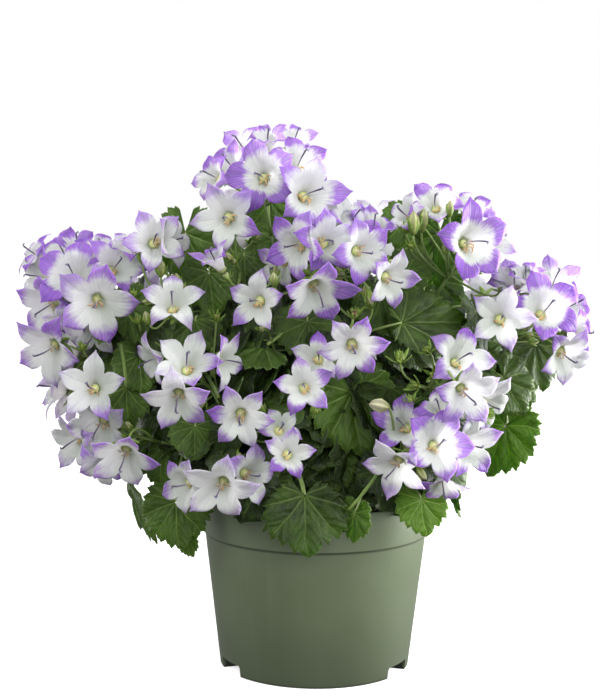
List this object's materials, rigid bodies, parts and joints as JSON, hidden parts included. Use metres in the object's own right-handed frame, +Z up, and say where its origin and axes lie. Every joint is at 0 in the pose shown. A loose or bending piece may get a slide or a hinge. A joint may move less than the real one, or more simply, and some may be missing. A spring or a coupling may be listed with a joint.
{
  "type": "potted serbian bellflower",
  "caption": "Bellflower in full bloom: a dome of open star-shaped lilac blooms and toothed heart-shaped leaves in a round tapered plastic pot with a low notched foot.",
  "frame": {"origin": "middle of the pot's underside, on the surface it stands on", "axes": "+Z up; -Y is the front that the picture shows, with its left at -X and its right at +X"},
  "size_m": [0.2908, 0.2311, 0.2783],
  "materials": {
    "pot": "satin, sage green",
    "soil": "dark peaty potting soil",
    "leaf": "soft matte leaf, mid green with paler veins",
    "petal": "soft matte petal, lilac with a white throat"
  },
  "bodies": {
    "root": {"pot": "pot", "soil": "soil", "leafy_stem_01": "leaf", "leafy_stem_02": "leaf", "leafy_stem_03": "leaf", "leafy_stem_04": "leaf", "leafy_stem_05": "leaf", "leafy_stem_06": "leaf", "leafy_stem_07": "leaf", "leafy_stem_08": "leaf", "leafy_stem_09": "leaf", "leafy_stem_10": "leaf", "leafy_stem_11": "leaf", "leafy_stem_12": "leaf", "leafy_stem_13": "leaf", "leafy_stem_14": "leaf", "leafy_stem_15": "leaf", "leafy_stem_16": "leaf", "leafy_stem_17": "leaf", "leafy_stem_18": "leaf", "leafy_stem_19": "leaf", "leafy_stem_20": "leaf", "leafy_stem_21": "leaf", "leafy_stem_22": "leaf", "leafy_stem_23": "leaf", "leafy_stem_24": "leaf", "leafy_stem_25": "leaf", "leafy_stem_26": "leaf", "leafy_stem_27": "leaf", "leafy_stem_28": "leaf", "spray_01": "petal", "spray_02": "petal", "spray_03": "petal", "spray_04": "petal", "spray_05": "petal", "spray_06": "petal", "spray_07": "petal", "spray_08": "petal", "spray_09": "petal", "spray_10": "petal", "spray_11": "petal", "spray_12": "petal", "spray_13": "petal", "spray_14": "petal", "spray_15": "petal", "spray_16": "petal", "spray_17": "petal", "spray_18": "petal", "spray_19": "petal", "spray_20": "petal", "spray_21": "petal", "spray_22": "petal", "spray_23": "petal", "spray_24": "petal", "spray_25": "petal", "spray_26": "petal", "spray_27": "petal", "spray_28": "petal"}
  },
  "joints": []
}
